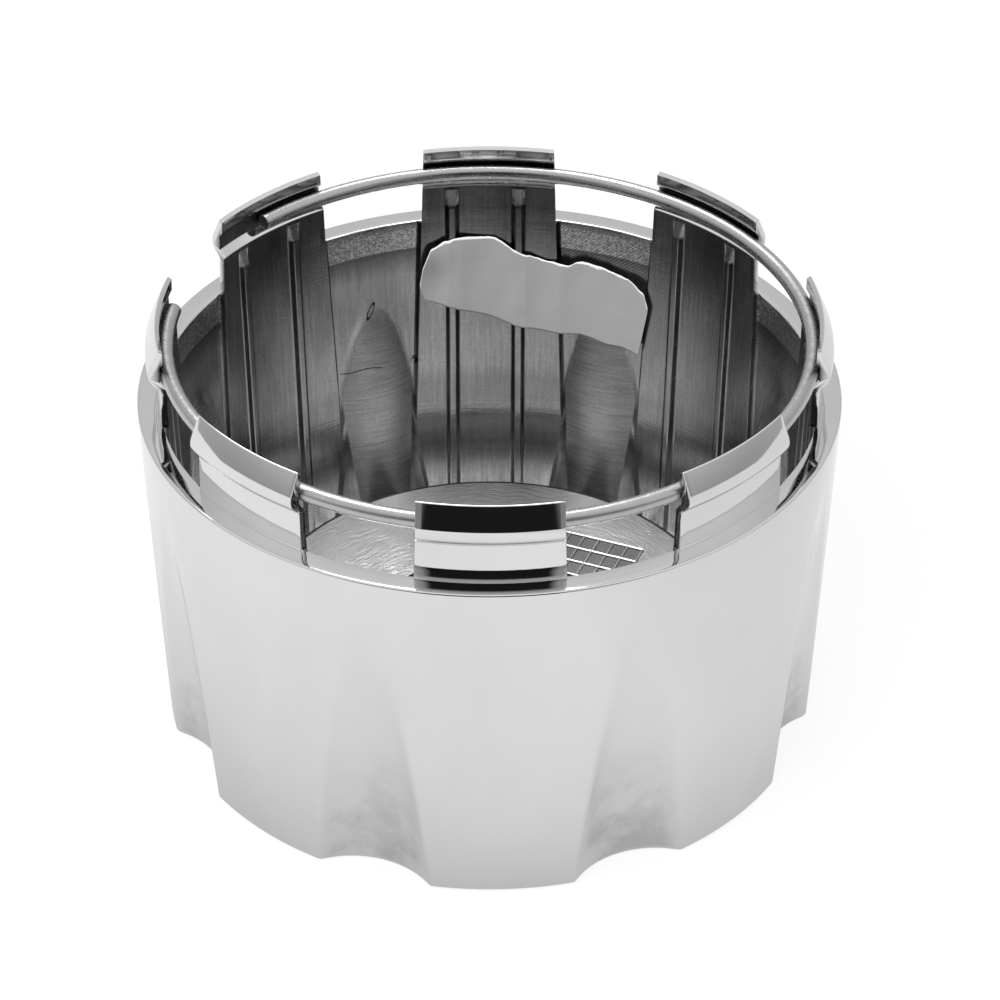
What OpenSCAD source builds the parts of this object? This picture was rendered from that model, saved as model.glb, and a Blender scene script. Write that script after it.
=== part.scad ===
// Wheel centre cap: a fluted cup with a dished face, snap clips on its open rim,
// a spring wire ring in the clips and a paper label inside.
// It rests on its face ring at z = 0 with the clips up.

/* [Cup] */
// Diameter of the rim on the outside, in mm
rim_d = 133; // [128:0.5:140]
// Height from the face ring to the rim land
cup_h = 71; // [68:0.5:78]
// Amount that the outside narrows from the rim to the face, on the radius
outer_taper = 3.2; // [2.6:0.1:3.6]
// Width of the flat land round the rim
land_w = 4.35; // [4.1:0.05:4.8]
// Swell of the wall's middle, outside and inside
wall_crown = 0.06; // [0.02:0.01:0.15]
// Draft of the inside wall, in degrees
core_draft = 1.6; // [1.3:0.1:1.8]
// Thickness of the floor and of the dished face
floor_t = 3; // [2.6:0.1:3.4]
// Radius of the rounded edge round the face
face_edge_r = 1.2; // [0.6:0.1:1.6]
// Radius of the rounded outer edge of the rim
rim_edge_r = 0.5; // [0.3:0.1:0.8]

/* [Flutes] */
// Number of flutes, which is also the number of clips
flute_n = 8; // [8:1:8]
// Radius of each flute's hollow
flute_r = 17.4; // [16:0.2:18.5]
// Depth of a flute at the face, from the outside surface
flute_depth = 4.97; // [4.4:0.1:5.2]
// Height at which a flute runs out on the wall
flute_run_out = 57.3; // [50:0.5:59]
// Turn of the outside flutes from midway between the clips, in degrees
flute_turn = 2.1; // [0:0.1:2.5]
// Thickness of the wall behind a flute
flute_wall = 3.6; // [3.2:0.1:3.9]

/* [Dished face] */
// Radius of the raised floor seen from inside the cup
disc_r = 45.6; // [42:0.2:48]
// Height of the raised floor above the face ring
disc_z = 17.3; // [12:0.1:20]
// Radius at which the dish opens on the face ring
dish_mouth_r = 55.7; // [54:0.1:56.5]
// Radius in the dish's inside corner
dish_corner_r = 1.5; // [0.8:0.1:2.5]

/* [Clips] */
// Height of the clips above the rim land
clip_h = 16.3; // [14:0.1:19]
// Width of a clip where it leaves the rim
clip_w = 27.1; // [22:0.1:29]
// Draft on the sides of a clip and of its strip, in degrees
clip_draft = 1.66; // [0.5:0.02:2]
// Thickness of a clip's neck
neck_t = 1.4; // [1.2:0.05:1.6]
// Radius of the snap bead
bead_r = 3.2; // [2.8:0.1:3.8]
// How far the bead stands out from the neck
bead_out = 1.9; // [1.5:0.05:2.2]
// Depth of the bead's middle below the wire's middle
bead_drop = 0.2; // [0:0.1:0.8]
// Depth of the groove that takes the wire, from the strip's face
groove_depth = 1.15; // [0.8:0.05:1.2]
// Height of the slope from the groove's top to the lip
lip_rise = 0.75; // [0.5:0.05:1.2]
// Height that the ledge under the groove falls to the strip's face
ledge_fall = 1.6; // [1:0.1:2]

/* [Strips and ribs] */
// How far a strip stands in from the cup's wall
strip_t = 1; // [0.7:0.05:1.2]
// Distance between the two ribs of a strip
rib_pitch = 13.4; // [11:0.1:15]
// Shift of both ribs from the strip's middle
rib_shift = 0.7; // [0:0.1:1]
// Width of the flat on top of a rib
rib_top_w = 1.15; // [0.8:0.05:1.5]
// Height of a rib above its strip
rib_h = 0.85; // [0.5:0.05:1.1]
// Length of the slope at a rib's upper end
rib_slope = 3.9; // [2:0.1:5]

/* [Mould grid] */
// Width of a cell of the raised grid on the floor
cell_w = 3.1; // [2.6:0.1:3.3]
// Length of a cell
cell_l = 4.4; // [3.6:0.1:4.6]
// Cells across
cell_cols = 6; // [3:1:6]
// Cells down
cell_rows = 4; // [2:1:4]
// Width of the grid's ridges
ridge_w = 0.45; // [0.3:0.05:0.6]
// Height of the grid's ridges
ridge_h = 0.35; // [0.2:0.05:0.5]

/* [Retaining ring] */
// Diameter of the spring wire
wire_d = 3.1; // [2.9:0.05:3.2]
// Depth of the wire's middle below the top of the clips
wire_drop = 5.1; // [4.9:0.1:5.5]
// Angle that the ring is open between its ends, in degrees
ring_open = 34; // [12:1:40]
// Clearance round the wire in its groove
seat_gap = 0.2; // [0.1:0.05:0.3]

/* [Label] */
// Length of the label along the wall
label_w = 46.8; // [40:0.2:50]
// Height of the label
label_h = 17.5; // [14:0.5:19]
// Lean of the label, in degrees
label_lean = -10; // [-14:1:0]
// Height of the label's middle above the face ring
label_z = 56; // [50:0.5:57]
// Direction of the label's middle round the cup, in degrees from +X
label_dir = 80.6; // [76:0.2:90]
// Thickness of the paper
label_t = 0.25; // [0.2:0.05:0.4]
// Clearance between the paper and the ribs that it lies on
label_gap = 0.02; // [0.01:0.01:0.05]

/* [Hidden] */
$fn = 96;
arc_n = 6;
band_z = [0.14, 0.28, 0.42, 0.56, 0.7, 0.84];

rim_r = rim_d / 2;
face_r = rim_r - outer_taper;
land_in_r = rim_r - land_w;
function swell(z) = wall_crown * 4 * z / cup_h * (1 - z / cup_h);
function wall_out_r(z) = face_r + outer_taper * z / cup_h + swell(z);
function wall_in_r(z) = land_in_r - (cup_h - z) * tan(core_draft) + swell(z);

pitch = 360 / flute_n;
flute_bottom_r = face_r - flute_depth;
flute_lean = atan((rim_r - outer_taper * (1 - flute_run_out / cup_h) - flute_bottom_r) / flute_run_out);

// The dish's cone has the floor's thickness, square to its slope.
dish_run = dish_mouth_r - disc_r;
dish_slope = (disc_z * dish_run + floor_t * sqrt(pow(dish_run, 2) + pow(disc_z, 2) - pow(floor_t, 2)))
    / (pow(disc_z, 2) - pow(floor_t, 2));
dish_lean = atan(dish_slope);
dish_z = disc_z - floor_t;
dish_r = dish_mouth_r - dish_slope * dish_z;
cone_foot_r = disc_r + dish_slope * dish_z;
disc_edge_r = 0.6;
mouth_edge_r = 1;
function corner_in(r) = r * tan((90 - dish_lean) / 2);

strip_r = land_in_r - strip_t;
wire_z = clip_h - wire_drop;
groove_top = wire_z + wire_d / 2;
lip_z = groove_top + lip_rise;
bead_z = wire_z - bead_drop;
groove_r = strip_r + groove_depth;
neck_r = strip_r + neck_t;
bead_c = neck_r + bead_out - bead_r;
bead_foot = -acos((neck_r - bead_c) / bead_r);
crown_back = 0.28;
crown_r = neck_r - crown_back;
crown_edge = [0.2, 0.15];

// The lead slope over the bead runs straight from the crown's edge and touches the bead's arc.
lead_run = [crown_r + crown_edge[0] - bead_c, clip_h - crown_edge[1] - bead_z];
bead_lead = atan2(lead_run[1], lead_run[0]) - acos(bead_r / norm(lead_run));
lip_back = 0.4;
lip_r = strip_r + lip_back;
lip_edge = [0.3, 0.5];
lip_slope = 0.1;

// The wire fills the groove's height and lies against its back.
ring_r = groove_r - wire_d / 2 - seat_gap;
groove_foot = wire_z - wire_d / 2;
ledge_z = groove_foot - ledge_fall;
ring_start = 171;

rib_foot = 0.12;
rib_gap = 0.6;
rib_start = ledge_z - rib_gap;
root = 0.5;
past = 5;

grid_turn = -22.5;
grid_corner = [30.9, 21];

label_r = strip_r - rib_h - (cup_h - label_z) * tan(core_draft) - label_gap;

function arc(c, r, a0, a1) =
    [for (i = [0 : arc_n]) c + r * [cos(a0 + (a1 - a0) * i / arc_n), sin(a0 + (a1 - a0) * i / arc_n)]];

// Outside of the cup as a solid of revolution, with its two rounded outer edges.
module cup_outside() {
    rotate_extrude()
        polygon(concat(
            [[0, 0]],
            arc([wall_out_r(face_edge_r) - face_edge_r, face_edge_r], face_edge_r, -90, 0),
            [for (t = band_z) [wall_out_r(t * cup_h), t * cup_h]],
            arc([rim_r - rim_edge_r, cup_h - rim_edge_r], rim_edge_r, 0, 90),
            [[0, cup_h]]
        ));
}

// A row of leaning round bars that meet the wall at the flutes.
module flute_bars(r, turn) {
    for (i = [0 : flute_n - 1])
        rotate([0, 0, (i + 0.5) * pitch + turn])
            translate([flute_bottom_r + flute_r, 0, 0])
                rotate([0, flute_lean, 0])
                    translate([0, 0, -4 * past])
                        cylinder(r = r, h = cup_h + 8 * past);
}

// Space inside the cup, over the raised floor and down in the trough round it.
module cup_inside() {
    difference() {
        rotate_extrude()
            polygon(concat(
                [[0, disc_z]],
                arc([disc_r - corner_in(disc_edge_r), disc_z - disc_edge_r], disc_edge_r, 90, dish_lean),
                [[cone_foot_r, floor_t], [wall_in_r(floor_t), floor_t]],
                [for (t = band_z) [wall_in_r(t * cup_h), t * cup_h]],
                [[land_in_r, cup_h], [land_in_r, cup_h + past], [0, cup_h + past]]
            ));
        flute_bars(flute_r + flute_wall, 0);
    }
}

// Recess of the dished face, seen from the front of the wheel.
module dish() {
    rotate_extrude()
        polygon(concat(
            [[0, -1], [dish_mouth_r + corner_in(mouth_edge_r), -1]],
            arc([dish_mouth_r + corner_in(mouth_edge_r), mouth_edge_r], mouth_edge_r, -90, dish_lean - 180),
            arc([dish_r - corner_in(dish_corner_r), dish_z - dish_corner_r], dish_corner_r, dish_lean, 90),
            [[0, dish_z]]
        ));
}

// Section of a clip: neck, snap bead, lip, groove for the wire and the ledge under it.
module clip_section() {
    polygon(concat(
        [[strip_r, 0], [strip_r + root, 0], [strip_r + root, -root], [neck_r, -root]],
        arc([bead_c, bead_z], bead_r, bead_foot, bead_lead),
        [[crown_r + crown_edge[0], clip_h - crown_edge[1]], [crown_r, clip_h]],
        [[lip_r + lip_edge[0], clip_h], [lip_r, clip_h - lip_edge[1]]],
        [[lip_r + lip_slope, lip_z], [groove_r, groove_top], [groove_r, groove_foot]],
        [[strip_r, ledge_z]]
    ));
}

// All the clips: one turned section, cut to width by tapered blocks through the middle.
module clips() {
    intersection() {
        translate([0, 0, cup_h])
            rotate_extrude()
                clip_section();
        for (i = [0 : flute_n / 2 - 1])
            rotate([0, 0, i * pitch])
                translate([0, 0, cup_h])
                    rotate([90, 0, 90])
                        linear_extrude(height = rim_d, center = true)
                            polygon([
                                [-clip_w / 2 - past * tan(clip_draft), -past],
                                [clip_w / 2 + past * tan(clip_draft), -past],
                                [clip_w / 2 - (clip_h + past) * tan(clip_draft), clip_h + past],
                                [-clip_w / 2 + (clip_h + past) * tan(clip_draft), clip_h + past]
                            ]);
    }
}

// Half of the block that gives a strip its sloping side, leaning with both drafts.
module strip_half(side) {
    translate([0, 0, cup_h])
        rotate([side * clip_draft, core_draft, 0])
            translate([0, 0, -cup_h])
                linear_extrude(height = cup_h)
                    polygon([
                        [strip_r - past, -side],
                        [strip_r - past, side * (clip_w / 2 - past)],
                        [strip_r + past, side * (clip_w / 2 + past)],
                        [strip_r + past, -side]
                    ]);
}

// Strips that carry the clips down the inside of the wall.
module strips() {
    intersection() {
        rotate_extrude()
            polygon([
                [wall_in_r(floor_t) - strip_t, floor_t - root],
                [wall_in_r(floor_t) + root, floor_t - root],
                [land_in_r + root, cup_h],
                [strip_r, cup_h]
            ]);
        for (i = [0 : flute_n - 1])
            rotate([0, 0, i * pitch]) {
                strip_half(1);
                strip_half(-1);
            }
    }
}

// One rib with sloping sides, cut off at its upper end by a slope.
module rib() {
    intersection() {
        translate([0, 0, cup_h])
            rotate([0, core_draft, 0])
                translate([0, 0, -cup_h])
                    linear_extrude(height = cup_h + clip_h)
                        polygon([
                            [strip_r - rib_h, -rib_top_w / 2],
                            [strip_r - rib_h, rib_top_w / 2],
                            [strip_r + rib_foot, rib_top_w / 2 + rib_h + rib_foot],
                            [strip_r + rib_foot, -rib_top_w / 2 - rib_h - rib_foot]
                        ]);
        translate([0, 0, cup_h])
            rotate([90, 0, 0])
                linear_extrude(height = 2 * past, center = true)
                    polygon([
                        [strip_r - past, floor_t - root - cup_h],
                        [strip_r - past, rib_start - rib_slope * past / rib_h],
                        [strip_r + rib_foot, rib_start + rib_slope * rib_foot / rib_h],
                        [strip_r + rib_foot, 0],
                        [strip_r + rib_foot - cup_h * tan(core_draft), floor_t - root - cup_h]
                    ]);
    }
}

// Two ribs on every strip.
module ribs() {
    for (i = [0 : flute_n - 1], s = [-1, 1])
        rotate([0, 0, i * pitch])
            translate([0, s * rib_pitch / 2 + rib_shift, 0])
                rib();
}

// Raised grid that the mould leaves on the floor.
module mould_grid() {
    translate([grid_corner[0], grid_corner[1], disc_z - ridge_h])
        rotate([0, 0, grid_turn]) {
            for (i = [0 : cell_cols])
                translate([-i * cell_w - ridge_w / 2, -cell_rows * cell_l - ridge_w / 2, 0])
                    cube([ridge_w, cell_rows * cell_l + ridge_w, 2 * ridge_h]);
            for (i = [0 : cell_rows])
                translate([-cell_cols * cell_w - ridge_w / 2, -i * cell_l - ridge_w / 2, 0])
                    cube([cell_cols * cell_w + ridge_w, ridge_w, 2 * ridge_h]);
        }
}

// The one plated moulding.
module cap_body() {
    color([0.78, 0.78, 0.78])
        difference() {
            union() {
                difference() {
                    cup_outside();
                    cup_inside();
                }
                clips();
                strips();
                ribs();
                mould_grid();
            }
            dish();
            flute_bars(flute_r, flute_turn);
        }
}

// Open ring of round spring wire, seated in the clips' grooves.
module retaining_ring() {
    color([0.6, 0.6, 0.6])
        translate([0, 0, cup_h + wire_z])
            rotate([0, 0, ring_start])
                rotate_extrude(angle = 360 - ring_open)
                    translate([ring_r, 0])
                        circle(r = wire_d / 2);
}

// Torn paper label that lies on the ribs of two neighbouring strips.
module paper_label() {
    color([0.82, 0.82, 0.82])
        intersection() {
            translate([0, 0, label_z])
                rotate_extrude()
                    polygon([
                        [label_r - label_t - label_h * tan(core_draft), -label_h],
                        [label_r - label_h * tan(core_draft), -label_h],
                        [label_r + label_h * tan(core_draft), label_h],
                        [label_r - label_t + label_h * tan(core_draft), label_h]
                    ]);
            rotate([0, 0, label_dir])
                translate([0, 0, label_z])
                    rotate([90, 0, 90])
                        linear_extrude(height = rim_r)
                            mirror([1, 0])
                                rotate(label_lean)
                                    scale([label_w, label_h])
                                        label_outline();
        }
}

// Outline of the label, one unit wide and one unit high, torn along its upper edge.
module label_outline() {
    polygon([
        [-0.5, -0.04], [-0.47, 0.3], [-0.4, 0.42], [-0.31, 0.5], [-0.17, 0.5], [-0.07, 0.42],
        [0.04, 0.37], [0.13, 0.42], [0.2, 0.5], [0.31, 0.5], [0.42, 0.47], [0.49, 0.36],
        [0.5, 0.08], [0.48, -0.42], [0.4, -0.45], [0.28, -0.5], [0.15, -0.48], [0.02, -0.5],
        [-0.1, -0.5], [-0.24, -0.42], [-0.38, -0.4], [-0.48, -0.28]
    ]);
}

cap_body();
retaining_ring();
paper_label();
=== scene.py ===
import math
from types import SimpleNamespace

import bpy
import numpy as np
from mathutils import Matrix, Vector


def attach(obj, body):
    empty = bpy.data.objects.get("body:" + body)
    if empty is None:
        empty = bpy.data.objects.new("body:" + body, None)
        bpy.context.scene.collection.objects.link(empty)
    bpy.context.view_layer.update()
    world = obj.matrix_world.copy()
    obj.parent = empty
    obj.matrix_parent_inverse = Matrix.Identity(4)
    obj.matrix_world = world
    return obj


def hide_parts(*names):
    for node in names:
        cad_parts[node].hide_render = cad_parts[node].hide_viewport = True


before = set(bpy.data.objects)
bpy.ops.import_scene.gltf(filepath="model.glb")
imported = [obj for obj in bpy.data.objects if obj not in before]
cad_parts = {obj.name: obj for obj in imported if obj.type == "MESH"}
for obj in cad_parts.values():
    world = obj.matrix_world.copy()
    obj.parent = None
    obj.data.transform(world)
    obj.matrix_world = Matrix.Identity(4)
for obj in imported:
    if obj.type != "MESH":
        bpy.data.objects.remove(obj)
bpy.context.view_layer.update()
MM = 0.001

# Cup, in mm, in the CAD's frame: face ring at z = 0, clips up.
RIM_R = 66.5
CUP_H = 71.0
TAPER = 3.2
LAND_R = RIM_R - 4.35
CORE_DRAFT = math.tan(math.radians(1.6))
SWELL = 0.06
FLOOR_T = 3.0
FACE_EDGE = 1.2
RIM_EDGE = 0.5
LAND_EDGE = 0.25

# Flutes: bars that lean outward cut the wall outside, and wider ones stand for their backs inside.
FLUTES = 8
PITCH = 2 * math.pi / FLUTES
FLUTE_R = 17.4
FLUTE_WALL = 3.6
FLUTE_FOOT = RIM_R - TAPER - 4.97
RUN_OUT = 57.3
FLUTE_TURN = math.radians(2.1)
FLUTE_LEAN = math.atan((RIM_R - TAPER * (1 - RUN_OUT / CUP_H) - FLUTE_FOOT) / RUN_OUT)
CREASE_OUT = 0.55
CREASE_IN = 0.25

# Columns of the cup's skin in half a pitch: in the flute, across its edge, and beyond it.
IN_FLUTE, ON_EDGE, BEYOND = 10, 5, 8
EDGE_BAND = math.radians(0.8)
LEAST_EDGE = math.radians(2.2)

# Dished face and the raised floor behind it.
DISC_R = 45.6
DISC_Z = 17.3
DISC_EDGE = 0.6
DISH_MOUTH = 55.7
DISH_Z = DISC_Z - FLOOR_T
DISH_RUN = DISH_MOUTH - DISC_R
DISH_SLOPE = (DISC_Z * DISH_RUN + FLOOR_T * math.sqrt(DISH_RUN**2 + DISC_Z**2 - FLOOR_T**2)) / (
    DISC_Z**2 - FLOOR_T**2
)
DISH_LEAN = math.atan(DISH_SLOPE)
DISH_R = DISH_MOUTH - DISH_SLOPE * DISH_Z
DISH_EDGE = 1.5
MOUTH_EDGE = 1.0

# Trough between the wall and the raised floor's cone.
TROUGH_GAP = 0.3
TROUGH_REACH = 20.0

# Clips, strips and ribs.
CLIP_H = 16.3
CLIP_HALF = 13.55
CLIP_EDGE = 0.14
SIDE_DRAFT = math.tan(math.radians(1.66))
STRIP_R = LAND_R - 1.0
STRIP_BACK = 1.9
STRIP_FOOT = FLOOR_T - 0.5 - CUP_H
STRIP_SLOPE = 1.15
STRIP_COVER = 0.4
RIB_COVER = 0.5
NECK_R = STRIP_R + 1.4
GROOVE_R = STRIP_R + 1.15
WIRE_R = 1.55
WIRE_Z = CLIP_H - 5.1
GROOVE_TOP = WIRE_Z + WIRE_R
GROOVE_FOOT = WIRE_Z - WIRE_R
LEDGE_Z = GROOVE_FOOT - 1.6
LIP_Z = GROOVE_TOP + 0.75
LIP_R = STRIP_R + 0.4
LIP_CHAMFER = 0.62
LIP_EDGE = 0.2
NOSE_EDGE = 0.15
GROOVE_EDGE = 0.25
CROWN_R = NECK_R - 0.28
CROWN_EDGE = 0.3
BEAD_R = 3.2
BEAD_C = NECK_R + 1.9 - BEAD_R
BEAD_Z = WIRE_Z - 0.2
RIB_PITCH = 13.4
RIB_SHIFT = 0.7
RIB_TOP = 1.15
RIB_H = 0.85
RIB_SLOPE = 3.9
RIB_END = LEDGE_Z - 0.6
RIB_MIDDLES = (RIB_SHIFT - RIB_PITCH / 2, RIB_SHIFT + RIB_PITCH / 2)

# Retaining ring in its groove.
RING_R = GROOVE_R - WIRE_R - 0.2
RING_START = math.radians(171)
RING_OPEN = math.radians(34)
RING_EDGE = 0.22

# Mould's grid on the raised floor: the right back corner, the turn, and the cells.
GRID_CORNER = (30.9, 21.0)
GRID_TURN = math.radians(-22.5)
CELL_W, CELL_L = 3.1, 4.4
GRID_COLS, GRID_ROWS = 6, 4
RIDGE_W, RIDGE_H = 0.45, 0.35
RIDGE_SINK = 0.2
RIDGE_FALL = 0.28

# Label: its torn upper and lower edge, as places along it and heights from the land.
LABEL_DIR = math.radians(80.6)
LABEL_Z = 56.0
LABEL_R = STRIP_R - RIB_H - (CUP_H - LABEL_Z) * CORE_DRAFT - 0.14
LABEL_T = 0.12
LABEL_TOP = (
    (-23.3, -13.6), (-22.6, -9.6), (-21.1, -5.5), (-18.8, -4.1), (-15.9, -3.4), (-8.8, -3.8), (-3.7, -7.0),
    (1.6, -8.6), (6.4, -8.9), (9.1, -7.7), (14.4, -8.5), (19.9, -9.8), (22.5, -11.7), (23.4, -14.5),
)
LABEL_LOW = (
    (-23.3, -14.8), (-22.4, -17.6), (-15.9, -20.4), (-9.8, -22.3), (-3.7, -24.5), (2.8, -25.3),
    (9.3, -25.0), (14.7, -26.2), (18.5, -25.8), (21.7, -26.2), (22.7, -19.8), (23.4, -15.6),
)
# Where the label sags between the ribs: the middle, the reach to each side and the depth.
LABEL_SAGS = ((-21.0, 3.2, 0.45), (-9.8, 5.4, 0.6), (1.2, 3.4, 0.5), (13.5, 8.0, 0.8))

# Finish inside: the grained band under the rim, and the hair's height.
BAND_Z = 64.8
HAIR_Z = 39.0

# Camera, in mm and degrees, from a fit of the rim, the land, the clips and the floor's edge.
VIEW_PLACE = (-1.5915, -604.0505, 470.5374)
VIEW_PITCH, VIEW_YAW, VIEW_ROLL = 35.18469, 0.34273, 0.11234
VIEW_LENS = 137.84


def arc(centre, radius, start, end, count):
    """Points of an arc about centre, from one angle in degrees to another."""
    a = np.radians(np.linspace(start, end, count))
    return np.stack([centre[0] + radius * np.cos(a), centre[1] + radius * np.sin(a)], 1)


def corner_in(radius):
    """How far an arc's centre lies inside the corner between a level face and the dish's cone."""
    return radius * math.tan((math.pi / 2 - DISH_LEAN) / 2)


def soft_min(a, b, width):
    """The lesser of a and b, with the crease between them rounded over width."""
    h = np.clip(0.5 + 0.5 * (b - a) / width, 0, 1)
    return b * (1 - h) + a * h - width * h * (1 - h)


def swell(z):
    """The wall's slight swell: a parabola, nothing at both ends and greatest halfway up."""
    return SWELL * 4 * z / CUP_H * (1 - z / CUP_H)


def wall_out(z):
    """Radius of the wall outside: the rim's, less the taper towards the face, plus the swell."""
    return RIM_R - TAPER + TAPER * z / CUP_H + swell(z)


def wall_in(z):
    """Radius of the wall inside: the land's, less the core's draft below it, plus the swell."""
    return LAND_R - (CUP_H - z) * CORE_DRAFT + swell(z)


def cone_in(z):
    """Radius of the cone inside the cup, which climbs from the trough to the raised floor."""
    return DISC_R + DISH_SLOPE * (DISC_Z - z)


def bar(phi, z, radius):
    """Radius at which a leaning round bar meets the ray at angle phi from its middle and height z:
    the nearer root of the circle's equation in the bar's own square frame, or far out where they miss."""
    c = np.cos(phi)
    s = np.sin(phi)
    lean = math.cos(FLUTE_LEAN)
    middle = (FLUTE_FOOT + FLUTE_R) * lean + z * math.sin(FLUTE_LEAN)
    a = (c * lean) ** 2 + s**2
    half = c * lean * middle
    root = half**2 - a * (middle**2 - radius**2)
    return np.where(root > 0, (half - np.sqrt(np.maximum(root, 0))) / a, 2 * RIM_R)


def bar_edge(z, wall, radius):
    """Half the angle that a bar of that radius takes out of a wall, or 0 above its end: its cosine is a
    root of the quadratic that puts the bar's surface at the wall's radius."""
    lean = math.cos(FLUTE_LEAN)
    middle = (FLUTE_FOOT + FLUTE_R) * lean + z * math.sin(FLUTE_LEAN)
    a = (math.sin(FLUTE_LEAN) * wall) ** 2
    b = 2 * wall * lean * middle
    c = middle**2 + wall**2 - radius**2
    cosine = 2 * c / (b + np.sqrt(b**2 + 4 * a * c))
    return np.arccos(np.clip(cosine, -1, 1))


def outside_r(phi, z):
    """The tapered wall with the flutes let into it."""
    return soft_min(wall_out(z), bar(phi, z, FLUTE_R), CREASE_OUT)


def inside_r(phi, z):
    """The wall inside the cup with the flutes' backs standing in."""
    return soft_min(wall_in(z), bar(phi, z, FLUTE_R + FLUTE_WALL), CREASE_IN)


def columns(z, wall, radius, turn):
    """(angle from the nearest flute's middle, angle round the cup) of every column at heights z, with
    columns set close along the edges that a bar of that radius cuts in the wall."""
    edge = np.clip(bar_edge(z, wall, radius), LEAST_EDGE, PITCH / 2 - 2 * EDGE_BAND)
    low = np.linspace(0, 1, IN_FLUTE, endpoint=False) * (edge - EDGE_BAND)
    mid = edge - EDGE_BAND + 2 * EDGE_BAND * np.linspace(0, 1, ON_EDGE, endpoint=False)
    high = edge + EDGE_BAND + np.linspace(0, 1, BEYOND) * (PITCH / 2 - edge - EDGE_BAND)
    half = np.concatenate([low, mid, high], 1)
    phi = np.concatenate([-half[:, :0:-1], half[:, :-1]], 1)
    middles = (np.arange(FLUTES) + 0.5) * PITCH + turn
    return np.tile(phi, (1, FLUTES)), (phi[:, None, :] + middles[None, :, None]).reshape(len(phi), -1)


def outside_columns(z):
    """Columns of the skin outside, close along the edges of the turned flutes."""
    return columns(z, wall_out(z), FLUTE_R, FLUTE_TURN)


def inside_columns(z):
    """Columns of the skin inside, close along the edges of the flutes' backs."""
    return columns(z, wall_in(z), FLUTE_R + FLUTE_WALL, 0.0)


def rows(angle, radius, z):
    """Rows of points from angle, radius and height, each of which may vary along the row."""
    r, h = np.broadcast_to(radius, angle.shape), np.broadcast_to(z, angle.shape)
    return np.stack([r * np.cos(angle), r * np.sin(angle), h], 2)


def rings(angle, profile):
    """One row of points round the cup for each (radius, height) of a profile."""
    return [rows(angle, r, z) for r, z in profile]


def between(start, end, shares):
    """Points at shares of the way from one (radius, height) to another."""
    return [(start[0] + (end[0] - start[0]) * k, start[1] + (end[1] - start[1]) * k) for k in shares]


def quads(count, width):
    """Corner numbers of the faces between rows of points that go all the way round."""
    i = np.arange(count - 1)[:, None]
    j = np.arange(width)[None, :]
    k = (j + 1) % width
    this, after = i * width, (i + 1) * width
    return np.stack([this + j, this + k, after + k, after + j], 2).reshape(-1, 4)


def strips(first, second, width):
    """Corner numbers of the faces between pairs of rows of points that have two ends."""
    j = np.arange(width - 1)[None, :]
    a, b = first[:, None] * width + j, second[:, None] * width + j
    return np.stack([a, a + 1, b + 1, b], 2).reshape(-1, 4)


def make_mesh(name, points, faces, smooth):
    """A piece from points in mm and arrays of faces, shaded smooth except at creases past an angle."""
    mesh = bpy.data.meshes.new(name)
    mesh.vertices.add(len(points))
    mesh.vertices.foreach_set("co", (points * MM).ravel())
    loops = np.concatenate([f.ravel() for f in faces])
    sizes = np.concatenate([np.full(len(f), f.shape[1]) for f in faces])
    mesh.loops.add(len(loops))
    mesh.loops.foreach_set("vertex_index", loops.astype(np.int32))
    mesh.polygons.add(len(sizes))
    mesh.polygons.foreach_set("loop_start", (np.cumsum(sizes) - sizes).astype(np.int32))
    mesh.update(calc_edges=True)
    mesh.validate()
    mesh.polygons.foreach_set("use_smooth", np.ones(len(sizes), bool))
    mesh.set_sharp_from_angle(angle=math.radians(smooth))
    mesh.update()
    piece = bpy.data.objects.new(name, mesh)
    bpy.context.scene.collection.objects.link(piece)
    return piece


def write_values(piece, name, values):
    """Keeps a number for each point of a piece, for its material to read."""
    made = piece.data.attributes.new(name, "FLOAT", "POINT")
    made.data.foreach_set("value", np.asarray(values).ravel().astype(np.float32))


class Pieces:
    """Gathers closed surfaces into one mesh, with a share from 0 outside to 1 inside at each point."""

    def __init__(self):
        self.points = []
        self.faces = []
        self.shares = []
        self.count = 0

    def add(self, points, faces, inside=0.0):
        """Adds points and lists of faces, turned so that the surface encloses a positive volume."""
        points = np.asarray(points, float).reshape(-1, 3)
        self.shares.append(np.broadcast_to(inside, len(points)))
        volume = 0.0
        for face in faces:
            p = points[face]
            for k in range(1, face.shape[1] - 1):
                volume += np.einsum("ij,ij->", p[:, 0], np.cross(p[:, k], p[:, k + 1]))
        for face in faces:
            self.faces.append((face if volume > 0 else face[:, ::-1]) + self.count)
        self.points.append(points)
        self.count += len(points)

    def make(self, name):
        """The gathered surfaces as one piece."""
        piece = make_mesh(name, np.concatenate(self.points), self.faces, 30)
        write_values(piece, "inside", np.concatenate(self.shares))
        return piece


def face_rows():
    """The dish's flat, its rounded edge, its cone, the rounded mouth, the face ring and the foot's edge:
    the outer ring follows the flutes."""
    phi, angle = outside_columns(np.array([[FACE_EDGE]]))
    lean = math.degrees(DISH_LEAN)
    flat = DISH_R - corner_in(DISH_EDGE)
    inner = arc((flat, DISH_Z - DISH_EDGE), DISH_EDGE, 90, lean, 7)
    mouth = arc((DISH_MOUTH + corner_in(MOUTH_EDGE), MOUTH_EDGE), MOUTH_EDGE, lean - 180, -90, 7)
    edge = outside_r(phi, FACE_EDGE)
    profile = [(share * flat, DISH_Z) for share in np.linspace(0.06, 1, 5) ** 0.8]
    profile += [*inner[1:], *between(inner[-1], mouth[0], (0.25, 0.5, 0.75)), *mouth]
    profile += between((mouth[-1][0], 0.0), (edge - FACE_EDGE, 0.0), (0.33, 0.67))
    for a in np.radians(np.linspace(-90, 0, 7)):
        profile.append((edge - FACE_EDGE * (1 - math.cos(a)), FACE_EDGE * (1 + math.sin(a))))
    return rings(angle, profile)


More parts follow.
